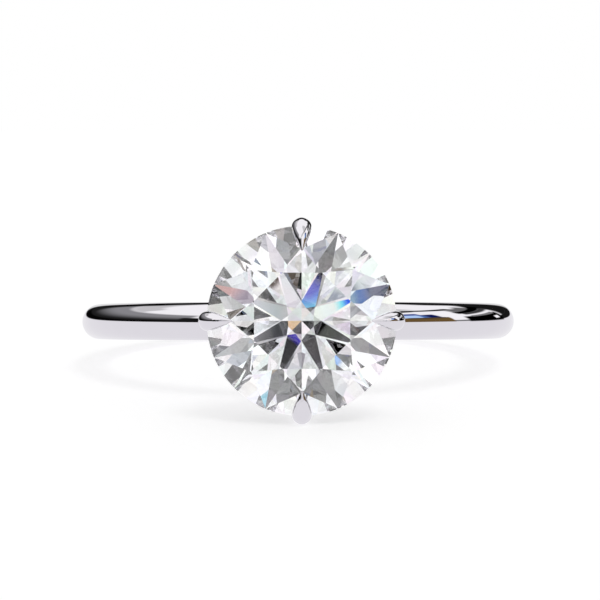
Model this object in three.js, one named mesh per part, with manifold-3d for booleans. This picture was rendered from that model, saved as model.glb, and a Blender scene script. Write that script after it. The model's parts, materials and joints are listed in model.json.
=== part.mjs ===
// Solitaire engagement ring: a thin polished band, a peg-mounted basket head with four pointed claws at the
// compass points, and a round brilliant stone. It lies on its side, resting on one claw and the back of the band.
//
// Every piece is first made in the ring's own frame: the finger axis is Y, the head points along +Z, and the
// centre of the finger hole is the origin. The last lines lay the ring down and put the middle of its
// underside at the origin, with +Z up and the stone facing -Y. Lengths are in millimetres, angles in degrees.

import * as THREE from 'three';
import { mergeVertices } from 'three/addons/utils/BufferGeometryUtils.js';
import { LoftGeometry } from 'three/addons/geometries/LoftGeometry.js';
import Module from 'manifold-3d';

const wasm = await Module();
wasm.setup();

// ---- Driving dimensions ----

const OUTER_RADIUS = 10;          // of the band
const BORE_RADIUS = 8.45;         // of the finger hole, US size 6.5
const BAND_WIDTH = 1.6;           // along the finger, the same all the way round
const COMFORT_DEPTH = 0.4;        // how far the rounded inside stands proud of its own edges
const BAND_STEPS = 96;            // facets round the band

const STONE_DIAMETER = 7.3;
const STONE_HEIGHT = 13.8;        // of the middle of the girdle above the centre of the finger hole
const TABLE_RATIO = 0.538;        // corner to corner, over the stone's diameter
const GIRDLE_RATIO = 0.03;        // girdle thickness over the stone's diameter
const STAR_RATIO = 0.5;           // how far the star facets reach from the table's edge to the girdle
const LOWER_HALF_RATIO = 0.77;    // how far the lower halves reach from the girdle to the culet
const CROWN_ANGLE = 34.5;
const PAVILION_ANGLE = 40.75;
const FOLDS = 8;                  // the stone's symmetry
const GIRDLE_STEPS = 96;          // facets round the girdle

const CLAW_HALF_WIDTH = 0.39;     // at the girdle, across the claw
const CLAW_HALF_DEPTH = 0.36;     // at the girdle, from the claw's middle line outwards
const CLAW_REACH = 3.98;          // from the stone's axis to the outermost point of a claw
const CLAW_SIDES = 14;
const CLAW_STEPS = 20;

const COLLAR_RADIUS = 1.05;       // of the foot plate that joins the head to the band
const COLLAR_LOW = 9.65;          // its underside, above the centre of the finger hole
const COLLAR_HIGH = 10.35;        // its top
const PEG_RADIUS = 0.45;
const PEG_LOW = 8.52;             // the peg is filed off just above the inside of the band

const RAIL_SIDES = 10;
const RAIL_STEPS = 48;
const RAIL_INSET = 0.2;           // from a claw's middle line inwards to the middle of a rail
const RAILS = [
  { name: 'upper_gallery_rail', below: 2.0, radius: 0.2 },    // below the girdle, at the claws' middle line
  { name: 'lower_gallery_rail', below: 3.05, radius: 0.17 },
];

const CLEARANCE = 0.04;           // solder or burnishing gap left between touching pieces

// ---- Materials ----

const METAL = { color: 0xdedce2, roughness: 0.06, metalness: 1 };
const DIAMOND = { color: 0xffffff, roughness: 0.0, metalness: 0 };

// ---- Solids ----

/** The closed surface of a geometry as a solid that can be cut and joined. */
function solidOf(geometry) {
  geometry.deleteAttribute('normal');
  geometry.deleteAttribute('uv');
  const merged = mergeVertices(geometry, 1e-5);
  return new wasm.Manifold(new wasm.Mesh({
    numProp: 3,
    vertProperties: new Float32Array(merged.attributes.position.array),
    triVerts: new Uint32Array(merged.index.array),
  }));
}

/** A named mesh of a solid, with a material of its own. */
function meshOf(name, solid, look) {
  const { vertProperties, triVerts, numProp } = solid.getMesh();
  const geometry = new THREE.BufferGeometry();
  const stride = new THREE.InterleavedBuffer(vertProperties, numProp);
  geometry.setAttribute('position', new THREE.InterleavedBufferAttribute(stride, 3, 0));
  geometry.setIndex(new THREE.BufferAttribute(triVerts, 1));
  const mesh = new THREE.Mesh(geometry.toNonIndexed(), new THREE.MeshStandardMaterial(look));
  mesh.geometry.computeVertexNormals();
  mesh.name = name;
  return mesh;
}

/** A body turned about the head's axis, from a closed outline of [radius, height] points, anticlockwise. */
function turned(outline, steps) {
  const points = outline.map(([radius, height]) => new THREE.Vector2(radius, height));
  return solidOf(new THREE.LatheGeometry(points, steps).rotateX(Math.PI / 2));
}

/** Points on an elliptical arc about (x, y), from one angle up to another. */
function arc(x, y, radiusX, radiusY, from, to, steps) {
  return new THREE.EllipseCurve(x, y, radiusX, radiusY, from, to).getPoints(steps);
}

// ---- Band ----

/** The band: a half-round outside, flat edges and a rounded comfort-fit inside, turned about the finger. */
function bandSolid() {
  const half = BAND_WIDTH / 2;
  const domeRadius = OUTER_RADIUS - half;
  const edgeRadius = BORE_RADIUS + COMFORT_DEPTH;
  const outline = [
    ...arc(domeRadius, 0, half, half, -Math.PI / 2, Math.PI / 2, 12),
    ...arc(edgeRadius, 0, COMFORT_DEPTH, half, Math.PI / 2, Math.PI * 1.5, 6),
  ];
  outline.push(outline[0].clone());
  // half a step of turn puts a flat facet, not an edge, at the very back of the band
  const halfStep = Math.PI / BAND_STEPS;
  return solidOf(new THREE.LatheGeometry(outline, BAND_STEPS, halfStep));
}

// ---- Stone ----

const radians = THREE.MathUtils.degToRad;
const STONE_RADIUS = STONE_DIAMETER / 2;
const TABLE_RADIUS = STONE_RADIUS * TABLE_RATIO;
const HALF_GIRDLE = STONE_DIAMETER * GIRDLE_RATIO / 2;
const TURN = 360 / FOLDS;

/** Height on a main facet at a place between two of them, on the crown (up = 1) or the pavilion (up = -1). */
function mainFacetHeight(radius, angle, up) {
  const along = radius * Math.cos(radians(TURN / 2));
  return up * (HALF_GIRDLE + (STONE_RADIUS - along) * Math.tan(radians(angle)));
}

/** A point of the stone from its turn about the head's axis, its radius and its height over the girdle. */
function onStone(turn, radius, height) {
  return new THREE.Vector3(radius, 0, 0)
    .applyAxisAngle(new THREE.Vector3(0, 0, 1), radians(turn))
    .setZ(STONE_HEIGHT + height);
}

/** Table height over the girdle: the crown's main facets pass through the table's corners. */
const TABLE_HEIGHT = HALF_GIRDLE + (STONE_RADIUS - TABLE_RADIUS) * Math.tan(radians(CROWN_ANGLE));

/** The facets of a round brilliant, each as three of its points. */
function brilliantFacets() {
  const starRadius = STONE_RADIUS * STAR_RATIO
    + TABLE_RADIUS * Math.cos(radians(TURN / 2)) * (1 - STAR_RATIO);
  const lowerRadius = STONE_RADIUS * (1 - LOWER_HALF_RATIO);
  const corner = (turn) => onStone(turn, TABLE_RADIUS, TABLE_HEIGHT);
  const starTip = (turn) => onStone(turn, starRadius, mainFacetHeight(starRadius, CROWN_ANGLE, 1));
  const lowerTip = (turn) => onStone(turn, lowerRadius, mainFacetHeight(lowerRadius, PAVILION_ANGLE, -1));
  const girdle = (turn, up) => onStone(turn, STONE_RADIUS, up * HALF_GIRDLE);
  const facets = [[corner(TURN / 2), corner(TURN * 1.5), corner(TURN * 2.5)]];
  for (let fold = 0; fold < FOLDS; fold++) {
    const between = fold * TURN;
    const main = between + TURN / 2;
    facets.push([corner(main - TURN), corner(main), starTip(between)]);
    facets.push([corner(main), starTip(between), starTip(between + TURN)]);
    facets.push([girdle(main, -1), lowerTip(between), lowerTip(between + TURN)]);
    for (const side of [main - TURN, main]) {
      facets.push([starTip(between), girdle(between, 1), girdle(side, 1)]);
      facets.push([lowerTip(between), girdle(between, -1), girdle(side, -1)]);
    }
  }
  return facets;
}

/** The stone, or a body that stands clear of it all round: a drum with a plane cut for each facet. */
function stoneSolid(clear = 0) {
  const drum = new THREE.CylinderGeometry(
    STONE_RADIUS + clear, STONE_RADIUS + clear, STONE_DIAMETER * 2, GIRDLE_STEPS);
  let stone = solidOf(drum.rotateX(Math.PI / 2).translate(0, 0, STONE_HEIGHT));
  const heart = new THREE.Vector3(0, 0, STONE_HEIGHT);
  for (const points of brilliantFacets()) {
    const plane = new THREE.Plane().setFromCoplanarPoints(...points);
    if (plane.distanceToPoint(heart) < 0) plane.negate();
    stone = stone.trimByPlane(plane.normal.toArray(), -plane.constant - clear);
  }
  return stone;
}

// ---- Claws ----

/** The claw's middle line, as [distance from the head's axis, height over the girdle] points. */
const FOOT = [0.68, -3.85];
const SHOULDER = [3.5, -0.5];
const APEX = [CLAW_REACH - CLAW_HALF_DEPTH, 0.05];
const OVER_CROWN = [3.32, 0.53];
const TIP = [2.77, 0.87];

/** Half width and half depth along a claw: [share of the way to the tip, half width, half depth]. */
const CLAW_TAPER = [
  [0, 0.27, 0.27],
  [0.7, CLAW_HALF_WIDTH, CLAW_HALF_DEPTH],
  [0.81, CLAW_HALF_WIDTH, CLAW_HALF_DEPTH],
  [0.9, 0.27, 0.22],
  [1, 0.03, 0.04],
];

/** Where the claw's straight wire is at a given distance below the girdle. */
function clawRadiusAt(below) {
  const share = (-below - FOOT[1]) / (SHOULDER[1] - FOOT[1]);
  return THREE.MathUtils.lerp(FOOT[0], SHOULDER[0], share);
}

/** Half width and half depth of the claw at a share of its length. */
function clawSize(share) {
  const next = Math.max(1, CLAW_TAPER.findIndex(([at]) => at >= share));
  const [from, to] = [CLAW_TAPER[next - 1], CLAW_TAPER[next]];
  const blend = (share - from[0]) / (to[0] - from[0]);
  return [1, 2].map((i) => THREE.MathUtils.lerp(from[i], to[i], blend));
}

/** The east claw, whole, before it is notched; grow makes the socket that it stands in. */
function clawSolid(grow = 0) {
  const middle = [FOOT, SHOULDER, APEX, OVER_CROWN, TIP]
    .map(([radius, height]) => new THREE.Vector3(radius, 0, STONE_HEIGHT + height));
  const straight = middle[0].clone().lerp(middle[1], 0.5);
  const path = new THREE.CatmullRomCurve3([middle[0], straight, ...middle.slice(1)], false, 'centripetal');
  const sections = [];
  for (let step = 0; step <= CLAW_STEPS; step++) {
    const share = step / CLAW_STEPS;
    const centre = path.getPointAt(share);
    const along = path.getTangentAt(share);
    const outwards = new THREE.Vector3(along.z, 0, -along.x);
    const across = new THREE.Vector3().crossVectors(along, outwards);
    const [halfWidth, halfDepth] = clawSize(share).map((size) => size + grow);
    if (step === 0) centre.addScaledVector(along, -grow);
    sections.push(Array.from({ length: CLAW_SIDES }, (_, side) => {
      const turn = side / CLAW_SIDES * Math.PI * 2;
      return centre.clone()
        .addScaledVector(outwards, halfDepth * Math.cos(turn))
        .addScaledVector(across, halfWidth * Math.sin(turn));
    }));
  }
  const loft = new LoftGeometry(sections, { capStart: true, capEnd: true });
  return solidOf(new THREE.BufferGeometry().copy(loft));
}

// ---- Gallery rails and foot ----

/** A gallery rail: a round wire ring that sits against the inside of the four claws. */
function railSolid({ below, radius }, grow = 0) {
  const flare = Math.atan2(SHOULDER[0] - FOOT[0], SHOULDER[1] - FOOT[1]);
  const ringRadius = clawRadiusAt(below) - RAIL_INSET * Math.cos(flare);
  const height = STONE_HEIGHT - below + RAIL_INSET * Math.sin(flare);
  const wire = new THREE.TorusGeometry(ringRadius, radius + grow, RAIL_SIDES, RAIL_STEPS);
  return solidOf(wire.translate(0, 0, height));
}

/** The head's foot: a collar let into the top of the band, on a peg through it. */
function footSolid(grow = 0) {
  return turned([
    [0, PEG_LOW - grow],
    [PEG_RADIUS + grow, PEG_LOW - grow],
    [PEG_RADIUS + grow, COLLAR_LOW - grow],
    [COLLAR_RADIUS + grow, COLLAR_LOW - grow],
    [COLLAR_RADIUS + grow, COLLAR_HIGH - 0.15],
    [COLLAR_RADIUS - 0.15, COLLAR_HIGH + grow],
    [0, COLLAR_HIGH + grow],
  ], 40);
}

// ---- Assembly ----

const pegHole = turned([
  [0, 0],
  [PEG_RADIUS + CLEARANCE, 0],
  [PEG_RADIUS + CLEARANCE, COLLAR_LOW],
  [0, COLLAR_LOW],
], 40);

const ring = new THREE.Group();
ring.add(meshOf('shank', bandSolid().subtract(footSolid(CLEARANCE)).subtract(pegHole), METAL));
ring.add(meshOf('diamond', stoneSolid(), DIAMOND));

let claw = clawSolid().subtract(stoneSolid(CLEARANCE));
for (const rail of RAILS) {
  claw = claw.subtract(railSolid(rail, CLEARANCE));
  ring.add(meshOf(rail.name, railSolid(rail), METAL));
}

let foot = footSolid();
const socket = clawSolid(CLEARANCE);
['claw_east', 'claw_north', 'claw_west', 'claw_south'].forEach((name, quarter) => {
  foot = foot.subtract(socket.rotate([0, 0, quarter * 90]));
  ring.add(meshOf(name, claw.rotate([0, 0, quarter * 90]), METAL));
});
ring.add(meshOf('head_foot', foot, METAL));

// ---- Lying on its side ----

// The floor touches the underside of the south claw and the underside of the band's back: with this lean of
// the finger axis from upright, both are at the same height.
const halfBand = BAND_WIDTH / 2;
const span = STONE_HEIGHT + OUTER_RADIUS - halfBand;
const lean = Math.atan2(CLAW_REACH, span) - Math.asin(halfBand / Math.hypot(CLAW_REACH, span));
ring.rotation.x = Math.PI / 2 - lean;

const laid = new THREE.Group().add(ring);
const box = new THREE.Box3().setFromObject(laid, true);
const middle = box.getCenter(new THREE.Vector3());
ring.position.set(-middle.x, -middle.y, -box.min.z);

export default laid;
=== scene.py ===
"""Solitaire engagement ring on a white surface, in studio light.

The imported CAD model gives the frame. Its faceted band, claws, rails, foot and stone are replaced here by
fine meshes: pieces are modelled in millimetres in the ring's own frame (finger axis Y, stone along +Z, the
centre of the finger hole at the origin) and then laid in place where the CAD pieces lie.
"""

import json
import math

import bmesh
import bpy
from mathutils import Matrix, Vector


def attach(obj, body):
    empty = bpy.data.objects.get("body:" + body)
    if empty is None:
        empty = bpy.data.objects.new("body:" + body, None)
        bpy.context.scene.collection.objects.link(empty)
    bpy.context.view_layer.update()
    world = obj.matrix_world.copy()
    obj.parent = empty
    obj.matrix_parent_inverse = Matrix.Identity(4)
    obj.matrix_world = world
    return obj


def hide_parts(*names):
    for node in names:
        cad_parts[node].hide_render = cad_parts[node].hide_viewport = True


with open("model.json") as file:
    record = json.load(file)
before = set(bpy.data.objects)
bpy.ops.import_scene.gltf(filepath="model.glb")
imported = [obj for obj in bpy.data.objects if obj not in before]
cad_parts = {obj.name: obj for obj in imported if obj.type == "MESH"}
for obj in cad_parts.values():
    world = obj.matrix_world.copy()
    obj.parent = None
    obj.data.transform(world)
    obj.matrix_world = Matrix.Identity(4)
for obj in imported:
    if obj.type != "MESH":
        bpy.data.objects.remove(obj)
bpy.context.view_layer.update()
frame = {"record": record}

MM = 0.001

# ---- Driving sizes, in millimetres and degrees, as in the CAD model ----

OUTER_RADIUS = 10.0
BORE_RADIUS = 8.45
BAND_WIDTH = 1.6
COMFORT_DEPTH = 0.4

STONE_DIAMETER = 7.3
STONE_HEIGHT = 13.8
TABLE_RATIO = 0.538
GIRDLE_RATIO = 0.03
STAR_RATIO = 0.5
LOWER_HALF_RATIO = 0.77
CROWN_ANGLE = 34.5
PAVILION_ANGLE = 40.75
FOLDS = 8

CLAW_HALF_WIDTH = 0.39
CLAW_HALF_DEPTH = 0.36
CLAW_REACH = 3.98

COLLAR_RADIUS = 1.05
COLLAR_LOW = 9.65
COLLAR_HIGH = 10.35
COLLAR_BEVEL = 0.15
PEG_RADIUS = 0.45
PEG_LOW = 8.52

RAIL_INSET = 0.2
RAILS = (("upper_gallery_rail", 2.0, 0.2), ("lower_gallery_rail", 3.05, 0.17))

# ---- Where the ring lies ----

MOUNTS = {mount["name"]: mount for mount in frame["record"]["mounts"]}
CENTRE = Vector(MOUNTS["finger_bore"]["pos_m"])
FINGER_AXIS = Vector(MOUNTS["finger_bore"]["axis"]).normalized()
HEAD_AXIS = Vector(MOUNTS["table_facet"]["axis"]).normalized()


def lay(mesh):
    """Takes a mesh from millimetres in the ring's own frame to metres where the ring lies."""
    axes = Matrix((Vector((1, 0, 0)), FINGER_AXIS, HEAD_AXIS)).transposed().to_4x4()
    mesh.transform(Matrix.Translation(CENTRE) @ axes @ Matrix.Scale(MM, 4))


# ---- Node helpers ----


class Tree:
    """A short way to build a node tree."""

    def __init__(self, owner):
        owner.use_nodes = True
        self.tree = owner.node_tree
        self.tree.nodes.clear()

    def node(self, kind, settings=None, **inputs):
        """Adds a node. An input goes by its name with _ for each space, or by _ and its number."""
        made = self.tree.nodes.new(kind)
        for name, value in (settings or {}).items():
            setattr(made, name, value)
        for name, value in inputs.items():
            key = int(name[1:]) if name[0] == "_" else name.replace("_", " ")
            self.put(made.inputs[key], value)
        return made

    def put(self, socket, value):
        """Links another node's output to a socket, or sets the socket to a plain value."""
        if isinstance(value, bpy.types.NodeSocket):
            self.tree.links.new(value, socket)
        else:
            socket.default_value = value

    def maths(self, operation, *values):
        """The result of a Math node."""
        made = self.tree.nodes.new("ShaderNodeMath")
        made.operation = operation
        for socket, value in zip(made.inputs, values):
            self.put(socket, value)
        return made.outputs[0]

    def blend(self, share, first, second, mode="MIX"):
        """A mix of two colours; the Mix node keeps its colour sockets at 6 and 7, and its result at 2."""
        made = self.tree.nodes.new("ShaderNodeMix")
        made.data_type = "RGBA"
        made.blend_type = mode
        self.put(made.inputs["Factor"], share)
        self.put(made.inputs[6], first)
        self.put(made.inputs[7], second)
        return made.outputs[2]


# ---- Studio: what the metal and the stone reflect ----


def grey(value, blue=0.0):
    """A grey, or with blue, a slightly blue one."""
    return (value, value, value + blue)


BLACK = grey(0.0)
FLOOR_TONE = (0.91, 0.905, 0.925)
# The room shows where no panel covers it.
ROOM_TONE = grey(1.12)

# Each panel is a soft-edged patch of the studio, as seen from the ring. A row gives its name, its azimuth
# from and to, its elevation from and to and the softness of its edge, in degrees, its lean (rise for each
# degree of azimuth) and its colour. Azimuth 0 is towards the camera and grows to the camera's right, and
# later panels cover earlier ones.
PANELS = (
    ("frosted pane, left", -24, -3, 38, 46, 5, 0, grey(0.88)),
    ("frosted pane, right", 14, 27, 37, 44, 4, 0, grey(0.9)),
    ("dim ceiling, high right", 40, 100, 51, 82, 6, 0, grey(0.7)),
    ("grey wall on the left", -164, -60, 6, 33, 6, 0, grey(0.3, 0.01)),
    ("haze over it", -162, -112, 33, 46, 5, 0, grey(0.68)),
    ("dark wall behind the ring", 150, 203, 1, 43, 8, 0, grey(0.005)),
    ("dark wall, right of it", 141, 166, 1, 33, 6, 0, grey(0.01)),
    ("black flag, front left", -66, -48, -1, 20, 4, 0, grey(0.003)),
    ("black flag, back left", -172, -152, 1, 39, 9, 0, grey(0.003)),
    ("pale window on the right", 57, 72, 17.5, 30, 2, 0, (0.55, 0.78, 1.15)),
    ("deep blue pane of it", 71, 76, 17.5, 30, 2, 0, (0.08, 0.18, 0.5)),
    ("blue blind over it", 60, 75, 29.5, 37, 3, 0, (0.05, 0.09, 0.35)),
    ("navy curtain beside it", 75, 84, 17, 31, 3, 0, (0.003, 0.01, 0.11)),
    ("dark skirting all round", -181, 181, -3.6, 5.8, 1.2, 0, grey(0.08, 0.01)),
    ("shaded foot of the left wall", -166, -54, -25, 17, 18, 0, grey(0.015)),
    ("table top, sides and back", 50, 310, -40, -0.8, 0.8, 0, FLOOR_TONE),
    ("black skirting, left", -168, -50, -0.8, 6, 3, 0, grey(0.002)),
    ("black skirting, back", 138, 200, -0.8, 6, 1.5, 0, grey(0.01)),
    ("white backdrop behind the ring", 166, 194, -1, 18, 4, 0, grey(0.85)),
    ("wooden panel", 54, 89, -2, 17, 1.5, 0, (0.17, 0.105, 0.035)),
    ("its shaded top", 60, 86, 13.5, 18, 2.5, 0, (0.07, 0.05, 0.03)),
    ("grey step", 89, 104, -1, 4.5, 2, 0, grey(0.2)),
    ("bright wall on the right", 88.5, 104, 4, 39, 2.5, 0, grey(1.15)),
    ("black cabinet", 100, 139, -2.5, 15.5, 3, 0, BLACK),
    ("grey top of the cabinet", 108, 136, 13.5, 17.5, 2, 0, grey(0.24)),
    ("under the shelf", 107, 144, 21, 26, 3, 0, grey(0.06)),
    ("grey haze over the shelf", 108, 138, 31, 38, 4, 0, grey(0.17)),
    ("black shelf", 104, 147, 25, 32, 3, 0, BLACK),
    ("lamp on the cabinet", 129, 134.5, 3, 8.5, 2, 0, grey(1.2)),
    ("ceiling beam, far right", 76, 122, 41.8, 47.6, 3, -0.25, BLACK),
    ("ceiling beam, right", 22, 78, 45.5, 49.5, 2, 0, grey(0.02)),
    ("its thick end", 52, 84, 44.5, 50.5, 1.5, 0, BLACK),
    ("ceiling beam, middle", 6, 26, 43, 47, 2, 0.3, grey(0.1)),
    ("grey reflector", -30, -0.5, 4, 31, 1.5, 0, grey(0.62, 0.02)),
    ("its bright corner", -7, -0.5, 16.5, 22, 1.5, 0, grey(0.86, 0.01)),
    ("its dark side, low", -24.5, -17.5, 8, 15.5, 1.5, 0, grey(0.1, 0.02)),
    ("its dark side, high", -24.5, -17.5, 15.5, 22, 1.5, 0, grey(0.38, 0.05)),
    ("its peach label", -7.5, -5.5, 9.5, 12.5, 0.6, 0, (0.72, 0.49, 0.44)),
    ("grey strip beside it", -9.5, -7.5, 9.5, 12.5, 0.6, 0, (0.36, 0.34, 0.38)),
    ("ceiling beam, left", -22, 8, 36.3, 39.1, 0.6, 0.37, (0.16, 0.13, 0.11)),
    ("soft shade under it", -15, -8.5, 23, 29, 2, 0, grey(0.38)),
    ("dark stand on the left", -50, -25, 5, 26, 2, 0, grey(0.03)),
    ("its black side", -50, -42, 5, 26, 2, 0, BLACK),
    ("gap in the stand", -37.5, -33.5, 12.5, 16, 1, 0, grey(0.7, 0.05)),
    ("grey card on the right", 20.5, 23, 9, 13.5, 1, 0, grey(0.28, 0.05)),
    ("pale blue card", 29.6, 33, 9, 18, 1, 0, grey(0.5, 0.12)),
    ("peach card", 41, 47, 18, 24, 2, 0, (0.9, 0.6, 0.38)),
    ("navy card", 51.5, 54.5, 31.5, 34.5, 1, 0, (0.0, 0.03, 0.13)),
    ("front skirting", -52, 52, -3.6, 5.8, 1.2, 0, grey(0.08, 0.01)),
    ("black end of the skirting, left", -52, -25, -3.6, 5.8, 1.2, 0, BLACK),
    ("black end of the skirting, right", 13, 52, -3.6, 5.8, 1.2, 0, BLACK),
    ("grey foot of the reflector", -9, -5, 2, 7, 2, 0, grey(0.3)),
    ("table top, left", -24.5, -9, -4, 0.8, 1, 0, FLOOR_TONE),
    ("table top, far left", -36, -31.5, -4, -1.4, 1, 0, FLOOR_TONE),
    ("table top, right", 32.5, 45, -4, 2, 1, 0, FLOOR_TONE),
    ("ice blue card, left", -17.85, -16.2, -4, -1.6, 0.3, 0, (0.25, 0.62, 0.78)),
    ("violet blue strip, far left", -35, -32.2, -2.4, -1.4, 0.3, 0, (0.25, 0.5, 0.95)),
    ("bright strip over it", -35, -32.2, -1.4, 0.4, 0.3, 0, grey(1.05)),
    ("bright gap on the right", 15.9, 17.9, -4, 15, 0.5, 0, grey(0.85)),
    ("second gap", 23.2, 25.4, -1, 5, 0.7, 0, grey(0.85)),
    ("sky edge over the camera", 0, 6.2, -6, 18.3, 0.8, 0, (0.2, 0.5, 1.0)),
    ("blue edge over the camera", 0, 5.8, -6, 17.5, 0.7, 0, (0.03, 0.05, 0.62)),
    ("sky edge beside the camera", 5, 10, -13, 13.5, 0.9, -1.7, (0.3, 0.95, 1.15)),
    ("blue edge beside the camera", 5, 10, -13, 12.9, 0.8, -1.7, (0.0, 0.12, 1.05)),
    ("slate edge beside the camera", 5, 10, -13, 11.3, 1.0, -1.7, (0.17, 0.3, 0.38)),
    ("teal edge beside the camera", 5, 10, -13, 9.4, 0.5, -1.7, (0.0, 0.08, 0.3)),
    ("camera", -0.5, 4.8, -4.5, 16.5, 0.8, 0, BLACK),
    ("camera's shoulder", 4, 10.5, -13, 9.2, 0.6, -1.7, grey(0.11)),
    ("black end of its shoulder", 9.6, 12, 3, 5.5, 0.2, 0, BLACK),
    ("black foot of the camera", 4.85, 6.5, -4.5, -1.95, 0.2, 0, BLACK),
    ("camera's stand", -6, 0, -4.5, 2, 1, 0, grey(0.04)),
    ("camera's grip", 2.8, 7.4, 0.3, 6.5, 1, 0, grey(0.1)),
    ("near table top", -181, 181, -91, -4.5, 1, 0, FLOOR_TONE),
    ("navy cloth", -7, -1, -4.8, -3.15, 0.3, 0, (0.02, 0.0, 0.44)),
    ("grey edge of the cloth, left", -23, -19.8, -5.2, -3.9, 0.5, 0, grey(0.48)),
    ("shadow on the cloth, left", -37.5, -34.9, -7, -4.4, 0.6, 0, grey(0.4, 0.03)),
    ("shadow on the cloth, right", 36.4, 39, -7, -4.2, 0.6, 0, (0.25, 0.2, 0.25)),
    ("fold in the cloth, left", -31.5, -27.5, -11.5, -8.5, 1, 0, grey(0.5)),
    ("fold in the cloth, right", 11.5, 14.5, -28, -25, 1, 0, grey(0.6)),
    ("edge of the table cloth", -12, 9, -10, -7.6, 1.5, 0, grey(0.6, 0.02)),
)
# One more panel, which only rays that come out of the stone meet.
UNDER_STONE = ("shade behind and below", 93, 267, -80, -4.5, 2, 0, grey(0.01))

# The stone's fire: a faint colour pattern over the studio, for the same rays.
FIRE_SCALE = 26.0
FIRE_DETAIL = 2.0
FIRE_DEPTH = 0.42
FIRE_GAIN = 1.08

# The even light that falls on the floor.
FLOOR_AMBIENT = 0.5


def window(tree, distance, half, soft):
    """1 within half of the middle, falling to 0 over soft degrees about it."""
    spread = tree.maths("ABSOLUTE", distance)
    step = tree.node("ShaderNodeMapRange", {"interpolation_type": "SMOOTHSTEP"}, Value=spread)
    ends = {"From Min": half - soft / 2, "From Max": half + soft / 2, "To Min": 1, "To Max": 0}
    for name, value in ends.items():
        step.inputs[name].default_value = value
    return step.outputs["Result"]


def panel_share(tree, azimuth, elevation, edges, soft, lean):
    """How much of a panel a ray in this direction meets, 0 to 1."""
    left, right, bottom, top = edges
    turn = tree.maths("WRAP", tree.maths("SUBTRACT", azimuth, (left + right) / 2), 180.0, -180.0)
    rise = tree.maths("SUBTRACT", elevation, (bottom + top) / 2)
    if lean:
        rise = tree.maths("MULTIPLY_ADD", turn, -lean, rise)
    share = window(tree, rise, (top - bottom) / 2, soft)
    if right - left < 360:
        share = tree.maths("MULTIPLY", share, window(tree, turn, (right - left) / 2, soft))
    return share


def painted_studio(tree, way, from_stone):
    """The panels' colour in the direction of a ray."""
    parts = tree.node("ShaderNodeSeparateXYZ", Vector=way).outputs
    towards_camera = tree.maths("MULTIPLY", parts["Y"], -1.0)
    azimuth = tree.maths("DEGREES", tree.maths("ARCTAN2", parts["X"], towards_camera))
    elevation = tree.maths("DEGREES", tree.maths("ARCSINE", parts["Z"]))
    colour = (*ROOM_TONE, 1)
    for name, *edges, soft, lean, tone in PANELS:
        share = panel_share(tree, azimuth, elevation, edges, soft, lean)
        colour = tree.blend(share, colour, (*tone, 1))
        colour.node.label = name
    name, *edges, soft, lean, tone = UNDER_STONE
    share = tree.maths("MULTIPLY", from_stone, panel_share(tree, azimuth, elevation, edges, soft, lean))
    colour = tree.blend(share, colour, (*tone, 1))
    colour.node.label = name
    return colour


def with_fire(tree, way, from_stone, colour):
    """The colour multiplied by the fire's pattern, for rays that come out of the stone."""
    pattern = {"Vector": way, "Scale": FIRE_SCALE, "Detail": FIRE_DETAIL}
    fire = tree.node("ShaderNodeTexNoise", **pattern).outputs["Color"]
    tint = tree.node("ShaderNodeVectorMath", {"operation": "MULTIPLY_ADD"}, _0=fire)
    tint.inputs[1].default_value = (FIRE_DEPTH,) * 3
    tint.inputs[2].default_value = (FIRE_GAIN - FIRE_DEPTH / 2,) * 3
    return tree.blend(from_stone, colour, tint.outputs[0], "MULTIPLY")


def studio():
    """The world: panels for mirrors and the stone, even light for the floor, white for the camera."""
    world = bpy.data.worlds.new("studio")
    bpy.context.scene.world = world
    world.cycles.sampling_method = "NONE"
    tree = Tree(world)
    path = tree.node("ShaderNodeLightPath").outputs
    way = tree.node("ShaderNodeTexCoord").outputs["Generated"]
    from_stone = path["Is Transmission Ray"]
    colour = with_fire(tree, way, from_stone, painted_studio(tree, way, from_stone))
    reflected = tree.node("ShaderNodeBackground", Color=colour).outputs[0]
    ambient = tree.node("ShaderNodeBackground", Color=(*grey(FLOOR_AMBIENT), 1)).outputs[0]
    backdrop = tree.node("ShaderNodeBackground", Color=(1, 1, 1, 1)).outputs[0]
    lit = tree.node("ShaderNodeMixShader", _0=path["Is Diffuse Ray"], _1=reflected, _2=ambient).outputs[0]
    shown = tree.node("ShaderNodeMixShader", _0=path["Is Camera Ray"], _1=lit, _2=backdrop).outputs[0]
    tree.node("ShaderNodeOutputWorld", Surface=shown)


# ---- Materials: noise scales are in cells to the metre ----

METAL_TONE = (0.79, 0.77, 0.81)
DARKER = 0.97
POLISH_PATCHES = 900.0
POLISH_LINES = 14000.0
SMOOTHEST = 0.012
ROUGHEST = 0.035
LINE_STRENGTH = 0.02
LINE_DEPTH = 0.000002


def polished_metal(name):
    """White metal, mirror polished, with faint polishing lines and a slow change of polish over it."""
    material = bpy.data.materials.new(name)
    tree = Tree(material)
    place = tree.node("ShaderNodeTexCoord").outputs["Object"]
    slow = tree.node("ShaderNodeTexNoise", Vector=place, Scale=POLISH_PATCHES, Detail=3.0).outputs["Fac"]
    lines = tree.node("ShaderNodeTexNoise", Vector=place, Scale=POLISH_LINES, Detail=4.0).outputs["Fac"]
    polish = tree.node("ShaderNodeMapRange", Value=slow, _3=SMOOTHEST, _4=ROUGHEST).outputs["Result"]
    bump = tree.node("ShaderNodeBump", Strength=LINE_STRENGTH, Distance=LINE_DEPTH, Height=lines).outputs[0]
    darker = tuple(part * DARKER for part in METAL_TONE)
    colour = tree.blend(slow, (*METAL_TONE, 1), (*darker, 1))
    surface = {"Metallic": 1.0, "Base_Color": colour, "Roughness": polish, "Normal": bump}
    metal = tree.node("ShaderNodeBsdfPrincipled", **surface)
    tree.node("ShaderNodeOutputMaterial", Surface=metal.outputs[0])
    return material


DIAMOND_INDEX = 2.417
CLEAR = (1, 1, 1, 1)
FAINT_TINT = (0.985, 0.99, 1, 1)
GROWTH_SCALE = 350.0
FACET_ROUGHNESS = 0.004


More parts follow.
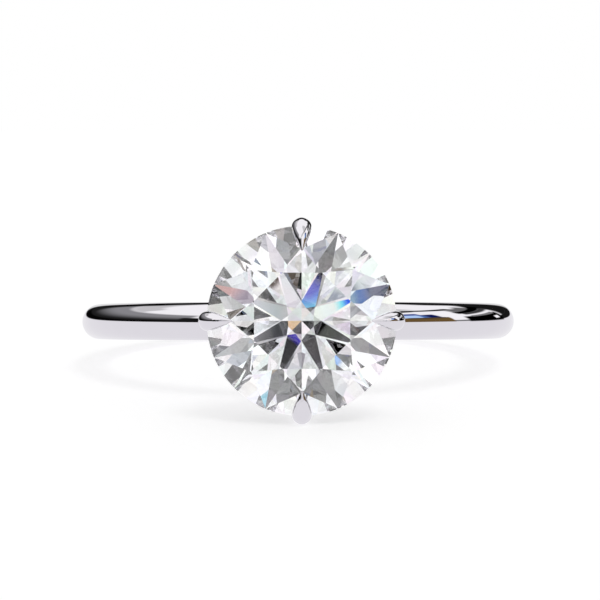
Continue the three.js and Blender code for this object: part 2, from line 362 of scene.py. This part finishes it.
def diamond_material():
    """Clear diamond: a mirror and a lens shared out by angle in Cycles, and plain glass elsewhere."""
    material = bpy.data.materials.new("diamond")
    tree = Tree(material)
    place = tree.node("ShaderNodeTexCoord").outputs["Object"]
    growth = tree.node("ShaderNodeTexNoise", Vector=place, Scale=GROWTH_SCALE, Detail=2.0).outputs["Fac"]
    tint = tree.blend(growth, CLEAR, FAINT_TINT)
    polish = tree.node("ShaderNodeMapRange", Value=growth, _3=0.0, _4=FACET_ROUGHNESS).outputs["Result"]
    glass = {"Base_Color": tint, "Roughness": polish, "IOR": DIAMOND_INDEX, "Transmission_Weight": 1.0}
    plain = tree.node("ShaderNodeBsdfPrincipled", **glass)
    carried = tree.node("ShaderNodeOutputMaterial", Surface=plain.outputs[0])
    mirror = tree.node("ShaderNodeBsdfGlossy", Roughness=0.0, Color=CLEAR)
    lens = tree.node("ShaderNodeBsdfRefraction", Roughness=0.0, IOR=DIAMOND_INDEX, Color=tint)
    share = tree.node("ShaderNodeFresnel", IOR=DIAMOND_INDEX).outputs[0]
    mixed = tree.node("ShaderNodeMixShader", _0=share, _1=lens.outputs[0], _2=mirror.outputs[0])
    traced = tree.node("ShaderNodeOutputMaterial", {"target": "CYCLES"}, Surface=mixed.outputs[0])
    traced.is_active_output = False
    carried.is_active_output = True
    return material


# ---- Mesh helpers ----


def piece(name, shape, material, node, flat=False):
    """Turns a bmesh into a shown piece that replaces a CAD node and rides on the ring."""
    bmesh.ops.recalc_face_normals(shape, faces=shape.faces)
    mesh = bpy.data.meshes.new(name)
    shape.to_mesh(mesh)
    shape.free()
    lay(mesh)
    for face in mesh.polygons:
        face.use_smooth = not flat
    mesh.materials.append(material)
    made = bpy.data.objects.new(name, mesh)
    bpy.context.collection.objects.link(made)
    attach(made, "root")
    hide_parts(node)
    return made


def skin(rings, closed=False):
    """A bmesh through closed rings of points, with end caps unless the last ring meets the first."""
    shape = bmesh.new()
    loops = [[shape.verts.new(point) for point in ring] for ring in rings]
    pairs = list(zip(loops, loops[1:])) + ([(loops[-1], loops[0])] if closed else [])
    for one, other in pairs:
        count = len(one)
        for i in range(count):
            j = (i + 1) % count
            shape.faces.new((one[i], one[j], other[j], other[i]))
    if not closed:
        shape.faces.new(loops[0])
        shape.faces.new(list(reversed(loops[-1])))
    return shape


def turned(outline, steps, axis):
    """A bmesh turned about an axis ("Y" or "Z") from a closed outline of (radius, height) points."""
    rings = []
    for step in range(steps):
        turn = 2 * math.pi * step / steps
        cos, sin = math.cos(turn), math.sin(turn)
        if axis == "Y":
            rings.append([(r * sin, h, r * cos) for r, h in outline])
        else:
            rings.append([(r * cos, r * sin, h) for r, h in outline])
    return skin(rings, closed=True)


def arc(x, y, radius_x, radius_y, start, end, steps):
    """Points on an elliptical arc about (x, y), angles in degrees."""
    turns = (math.radians(start + (end - start) * i / steps) for i in range(steps + 1))
    return [(x + radius_x * math.cos(t), y + radius_y * math.sin(t)) for t in turns]


# In millimetres: corners nearer to each other than this are merged after a cut.
SLIVER = 0.00002


def cut(body, cutter):
    """body with cutter's solid taken away and its slivers merged; both bmeshes are used up."""
    objects = []
    for shape in (body, cutter):
        bmesh.ops.recalc_face_normals(shape, faces=shape.faces)
        mesh = bpy.data.meshes.new("cut")
        shape.to_mesh(mesh)
        shape.free()
        made = bpy.data.objects.new("cut", mesh)
        bpy.context.collection.objects.link(made)
        objects.append(made)
    step = objects[0].modifiers.new("cut", "BOOLEAN")
    step.operation = "DIFFERENCE"
    step.solver = "EXACT"
    step.object = objects[1]
    bpy.context.view_layer.update()
    result = bmesh.new()
    result.from_mesh(objects[0].evaluated_get(bpy.context.evaluated_depsgraph_get()).data)
    bmesh.ops.remove_doubles(result, verts=result.verts, dist=SLIVER)
    bmesh.ops.dissolve_degenerate(result, dist=SLIVER, edges=result.edges)
    for used in objects:
        bpy.data.meshes.remove(used.data)
    return result


def smooth_by_angle(made, degrees):
    """Keeps edges sharper than an angle sharp on a smooth-shaded piece."""
    made.data.set_sharp_from_angle(angle=math.radians(degrees))


# ---- Band ----

BAND_STEPS = 360
OUTSIDE_STEPS = 28
INSIDE_STEPS = 16


def band_shape():
    """A band that is half round outside, with a comfort fit inside."""
    half = BAND_WIDTH / 2
    outline = arc(OUTER_RADIUS - half, 0, half, half, -90, 90, OUTSIDE_STEPS)
    outline += arc(BORE_RADIUS + COMFORT_DEPTH, 0, COMFORT_DEPTH, half, 90, 270, INSIDE_STEPS)
    return turned(outline, BAND_STEPS, "Y")


# ---- Stone ----

STONE_RADIUS = STONE_DIAMETER / 2
TABLE_RADIUS = STONE_RADIUS * TABLE_RATIO
HALF_GIRDLE = STONE_DIAMETER * GIRDLE_RATIO / 2
TURN = 360 / FOLDS
TABLE_HEIGHT = HALF_GIRDLE + (STONE_RADIUS - TABLE_RADIUS) * math.tan(math.radians(CROWN_ANGLE))
GIRDLE_STEPS = 192
# In millimetres: a corner nearer to a cutting plane than this counts as on it.
ON_PLANE = 1e-6


def main_facet_height(radius, angle, up):
    """Height on a main facet at a place between two of them."""
    along = radius * math.cos(math.radians(TURN / 2))
    return up * (HALF_GIRDLE + (STONE_RADIUS - along) * math.tan(math.radians(angle)))


def on_stone(turn, radius, height):
    """A point by its turn in degrees, its distance from the stone's axis and its height over the girdle."""
    turn = math.radians(turn)
    return Vector((radius * math.cos(turn), radius * math.sin(turn), STONE_HEIGHT + height))


def brilliant_facets():
    """The facets of a round brilliant, each as three of its points."""
    cos_half = math.cos(math.radians(TURN / 2))
    star_radius = STONE_RADIUS * STAR_RATIO + TABLE_RADIUS * cos_half * (1 - STAR_RATIO)
    lower_radius = STONE_RADIUS * (1 - LOWER_HALF_RATIO)

    def corner(turn):
        return on_stone(turn, TABLE_RADIUS, TABLE_HEIGHT)

    def star_tip(turn):
        return on_stone(turn, star_radius, main_facet_height(star_radius, CROWN_ANGLE, 1))

    def lower_tip(turn):
        return on_stone(turn, lower_radius, main_facet_height(lower_radius, PAVILION_ANGLE, -1))

    def girdle(turn, up):
        return on_stone(turn, STONE_RADIUS, up * HALF_GIRDLE)

    facets = [(corner(TURN / 2), corner(TURN * 1.5), corner(TURN * 2.5))]
    for fold in range(FOLDS):
        between = fold * TURN
        main = between + TURN / 2
        facets.append((corner(main - TURN), corner(main), star_tip(between)))
        facets.append((corner(main), star_tip(between), star_tip(between + TURN)))
        facets.append((girdle(main, -1), lower_tip(between), lower_tip(between + TURN)))
        for side in (main - TURN, main):
            facets.append((star_tip(between), girdle(between, 1), girdle(side, 1)))
            facets.append((lower_tip(between), girdle(between, -1), girdle(side, -1)))
    return facets


def stone_shape(clear=0.0):
    """The stone, or a body that stands clear of it all round: a drum with a plane cut for each facet."""
    radius = STONE_RADIUS + clear
    turns = [360 * step / GIRDLE_STEPS for step in range(GIRDLE_STEPS)]
    ends = (-STONE_DIAMETER, STONE_DIAMETER)
    shape = skin([[on_stone(turn, radius, height) for turn in turns] for height in ends])
    heart = on_stone(0, 0, 0)
    for a, b, c in brilliant_facets():
        normal = (b - a).cross(c - a).normalized()
        if normal.dot(a - heart) < 0:
            normal.negate()
        whole = shape.verts[:] + shape.edges[:] + shape.faces[:]
        plane = {"plane_co": a + normal * clear, "plane_no": normal, "dist": ON_PLANE}
        cutting = bmesh.ops.bisect_plane(shape, geom=whole, clear_outer=True, **plane)
        rim = [edge for edge in cutting["geom_cut"] if isinstance(edge, bmesh.types.BMEdge)]
        bmesh.ops.contextual_create(shape, geom=rim)
    return shape


# ---- Claws ----

# Points that a claw's middle line passes through: radius, and height over the stone's girdle.
FOOT = (0.68, -3.85)
SHOULDER = (3.5, -0.5)
APEX = (CLAW_REACH - CLAW_HALF_DEPTH, 0.05)
OVER_CROWN = (3.32, 0.53)
TIP = (2.66, 0.92)

# A claw's taper: share of its length, half width, half depth.
CLAW_TAPER = (
    (0, 0.27, 0.27),
    (0.7, CLAW_HALF_WIDTH, CLAW_HALF_DEPTH),
    (0.825, CLAW_HALF_WIDTH, CLAW_HALF_DEPTH),
    (0.9, 0.3, 0.29),
    (1, 0.03, 0.04),
)
CLAW_EASE = 0.05
CLAW_FULLNESS = 1.9
CLAW_STEPS = 128
CLAW_SIDES = 64
CURVE_STEPS = 60
EASE_STEPS = 5


def claw_path(steps):
    """The claw's middle line as evenly spaced points, on a Catmull-Rom curve through its named points."""
    middle = [Vector((r, 0, STONE_HEIGHT + h)) for r, h in (FOOT, SHOULDER, APEX, OVER_CROWN, TIP)]
    half_way = middle[0].lerp(middle[1], 0.5)
    middle.insert(1, half_way)
    middle = [2 * middle[0] - middle[1], *middle, 2 * middle[-1] - middle[-2]]
    fine = []
    for a, b, c, d in zip(middle, middle[1:], middle[2:], middle[3:]):
        knots = [0.0]
        for one, other in ((a, b), (b, c), (c, d)):
            knots.append(knots[-1] + math.sqrt((other - one).length))
        for i in range(CURVE_STEPS):
            t = knots[1] + (knots[2] - knots[1]) * i / CURVE_STEPS
            ab = a.lerp(b, (t - knots[0]) / (knots[1] - knots[0]))
            bc = b.lerp(c, (t - knots[1]) / (knots[2] - knots[1]))
            cd = c.lerp(d, (t - knots[2]) / (knots[3] - knots[2]))
            abc = ab.lerp(bc, (t - knots[0]) / (knots[2] - knots[0]))
            bcd = bc.lerp(cd, (t - knots[1]) / (knots[3] - knots[1]))
            fine.append(abc.lerp(bcd, (t - knots[1]) / (knots[2] - knots[1])))
    fine.append(middle[-2])
    lengths = [0.0]
    for one, other in zip(fine, fine[1:]):
        lengths.append(lengths[-1] + (other - one).length)
    spaced, at = [], 0
    for step in range(steps + 1):
        target = lengths[-1] * step / steps
        while at < len(fine) - 2 and lengths[at + 1] < target:
            at += 1
        spaced.append(fine[at].lerp(fine[at + 1], (target - lengths[at]) / (lengths[at + 1] - lengths[at])))
    return spaced


def taper_size(share):
    """Half width and half depth by the taper's straight stretches."""
    for (low_at, *low_size), (high_at, *high_size) in zip(CLAW_TAPER, CLAW_TAPER[1:]):
        if share <= high_at:
            blend = (share - low_at) / (high_at - low_at)
            return [a + (b - a) * blend for a, b in zip(low_size, high_size)]
    return CLAW_TAPER[-1][1:]


def claw_size(share):
    """Half width and half depth at a share of the claw's length, with the taper's corners rounded off."""
    reach = min(CLAW_EASE, share, 1 - share)
    near = [taper_size(share + reach * step / EASE_STEPS) for step in range(-EASE_STEPS, EASE_STEPS + 1)]
    return [sum(sizes) / len(near) for sizes in zip(*near)]


def crested(part):
    """Makes the claw's section a little less full than an ellipse, with a soft crest along its back."""
    return math.copysign(abs(part) ** (2 / CLAW_FULLNESS), part)


def claw_shape(quarter):
    """A claw before the stone is cut out of it, turned by a number of quarter turns from the east."""
    path = claw_path(CLAW_STEPS)
    rings = []
    turn = Matrix.Rotation(math.radians(90 * quarter), 3, "Z")
    for step, centre in enumerate(path):
        before, after = path[max(step - 1, 0)], path[min(step + 1, CLAW_STEPS)]
        along = (after - before).normalized()
        outwards = Vector((along.z, 0, -along.x))
        across = along.cross(outwards)
        half_width, half_depth = claw_size(step / CLAW_STEPS)
        ring = []
        for side in range(CLAW_SIDES):
            angle = 2 * math.pi * side / CLAW_SIDES
            offset = outwards * half_depth * crested(math.cos(angle))
            offset += across * half_width * crested(math.sin(angle))
            ring.append(turn @ (centre + offset))
        rings.append(ring)
    return skin(rings)


# ---- Rails and foot ----

RAIL_SIDES = 24
RAIL_STEPS = 128
FOOT_STEPS = 96
BEVEL_STEPS = 8
# Turned shapes stop just short of their axis, so that no face has a side of no length.
ON_AXIS = 0.001
# The peg hole's ends lie inside the finger hole and inside the collar's seat.
HOLE_LOW = 7.0
HOLE_HIGH = 9.7
HOLE_STEPS = 64
# How far the seat and the hole stand clear of the foot.
PLAY = 0.01


def rail_shape(below, radius):
    """A round wire ring on the claws' inner sides, its height given as the distance below the girdle."""
    flare = math.atan2(SHOULDER[0] - FOOT[0], SHOULDER[1] - FOOT[1])
    share = (-below - FOOT[1]) / (SHOULDER[1] - FOOT[1])
    claw_radius = FOOT[0] + (SHOULDER[0] - FOOT[0]) * share
    ring_radius = claw_radius - RAIL_INSET * math.cos(flare)
    height = STONE_HEIGHT - below + RAIL_INSET * math.sin(flare)
    outline = arc(ring_radius, height, radius, radius, 0, 360, RAIL_SIDES)[:-1]
    return turned(outline, RAIL_STEPS, "Z")


def foot_shape(grow=0.0):
    """The collar on its peg, or with grow, the seat that it fits in."""
    peg, low = PEG_RADIUS + grow, PEG_LOW - grow
    collar, under, top = COLLAR_RADIUS + grow, COLLAR_LOW - grow, COLLAR_HIGH + grow
    bevel = arc(collar - COLLAR_BEVEL, top - COLLAR_BEVEL, COLLAR_BEVEL, COLLAR_BEVEL, 0, 90, BEVEL_STEPS)
    outline = [(ON_AXIS, low), (peg, low), (peg, under), (collar, under), *bevel, (ON_AXIS, top)]
    return turned(outline, FOOT_STEPS, "Z")


def peg_hole_shape():
    """The hole through the band below the foot's seat."""
    radius = PEG_RADIUS + PLAY
    outline = [(ON_AXIS, HOLE_LOW), (radius, HOLE_LOW), (radius, HOLE_HIGH), (ON_AXIS, HOLE_HIGH)]
    return turned(outline, HOLE_STEPS, "Z")


# ---- Build ----

SHARP_ANGLE = 35
CLAW_SHARP_ANGLE = 40
CLAW_PLAY = 0.004


def build_band(metal):
    """The band, with the foot's seat and the peg's hole cut in it."""
    shape = cut(cut(band_shape(), foot_shape(PLAY)), peg_hole_shape())
    made = piece("band", shape, metal, "shank")
    smooth_by_angle(made, SHARP_ANGLE)


def build_head(metal):
    """The foot, the two rails and the four claws, which the stone is cut out of."""
    foot = piece("foot_plate", foot_shape(), metal, "head_foot")
    smooth_by_angle(foot, SHARP_ANGLE)
    for node, below, radius in RAILS:
        piece(node.replace("gallery_", ""), rail_shape(below, radius), metal, node)
    for quarter, side in enumerate(("east", "north", "west", "south")):
        shape = cut(claw_shape(quarter), stone_shape(CLAW_PLAY))
        claw = piece(f"claw_wire_{side}", shape, metal, f"claw_{side}")
        smooth_by_angle(claw, CLAW_SHARP_ANGLE)


studio()
build_band(polished_metal("polished_band"))
build_head(polished_metal("polished_head"))
piece("round_brilliant", stone_shape(), diamond_material(), "diamond", flat=True)


# ---- Floor, light and camera ----

# Half the floor's side, in metres.
FLOOR_HALF = 0.5
FLOOR_GREY = 0.8
FLOOR_GLOW = 0.545
KEY_STRENGTH = 0.32
KEY_SOFTNESS = 20
KEY_DIRECTION = Vector((0.23, -0.43, 0.87))


def floor_material():
    """Matt and pale, with a glow that makes it white away from the ring's shadow."""
    material = bpy.data.materials.new("floor")
    tree = Tree(material)
    matt = tree.node("ShaderNodeBsdfDiffuse", Color=(*grey(FLOOR_GREY), 1))
    glow = tree.node("ShaderNodeEmission", Color=(1, 1, 1, 1), Strength=FLOOR_GLOW)
    both = tree.node("ShaderNodeAddShader", _0=matt.outputs[0], _1=glow.outputs[0])
    tree.node("ShaderNodeOutputMaterial", Surface=both.outputs[0])
    return material


def floor():
    """A plain floor that the camera sees; mirrors and the stone see the studio's panels in its place."""
    corners = [(x * FLOOR_HALF, y * FLOOR_HALF, 0) for x, y in ((-1, -1), (1, -1), (1, 1), (-1, 1))]
    mesh = bpy.data.meshes.new("floor")
    mesh.from_pydata(corners, [], [(0, 1, 2, 3)])
    mesh.materials.append(floor_material())
    made = bpy.data.objects.new("floor", mesh)
    bpy.context.collection.objects.link(made)
    made.visible_glossy = False
    made.visible_transmission = False


def key_light():
    """A soft light from above, right of the camera."""
    light = bpy.data.lights.new("key", "SUN")
    light.angle = math.radians(KEY_SOFTNESS)
    light.energy = KEY_STRENGTH
    made = bpy.data.objects.new("key", light)
    bpy.context.collection.objects.link(made)
    made.rotation_euler = KEY_DIRECTION.to_track_quat("Z", "Y").to_euler()
    made.visible_camera = False
    made.visible_glossy = False
    made.visible_transmission = False


SENSOR_WIDTH = 36
LENS = 100.15
NEAREST = 1 * MM

# The camera's place and aim from the centre of the finger hole, fitted to the photograph.
CAMERA_DISTANCE = 78 * MM
CAMERA_LEFT = 0.794 * MM
CAMERA_BELOW = 0.128 * MM
AIM_RIGHT = 0.091 * MM
AIM_ABOVE = 1.0 * MM


def camera():
    """Looks at the stone's table nearly along the head's axis, from a little left of it."""
    data = bpy.data.cameras.new("camera")
    data.sensor_width = SENSOR_WIDTH
    data.lens = LENS
    data.clip_start = NEAREST
    made = bpy.data.objects.new("camera", data)
    bpy.context.collection.objects.link(made)
    right = Vector((1, 0, 0))
    made.location = CENTRE + HEAD_AXIS * CAMERA_DISTANCE - right * CAMERA_LEFT - FINGER_AXIS * CAMERA_BELOW
    aim = CENTRE + right * AIM_RIGHT + FINGER_AXIS * AIM_ABOVE
    made.rotation_euler = (aim - made.location).to_track_quat("-Z", "Y").to_euler()
    bpy.context.scene.camera = made


floor()
key_light()
camera()

# The light inside the stone is reflected many times before it comes out.
BOUNCES_IN_STONE = 24
MIRROR_BOUNCES = 12

bpy.context.scene.view_settings.view_transform = "Standard"
cycles = bpy.context.scene.cycles
cycles.max_bounces = BOUNCES_IN_STONE
cycles.transmission_bounces = BOUNCES_IN_STONE
cycles.glossy_bounces = MIRROR_BOUNCES
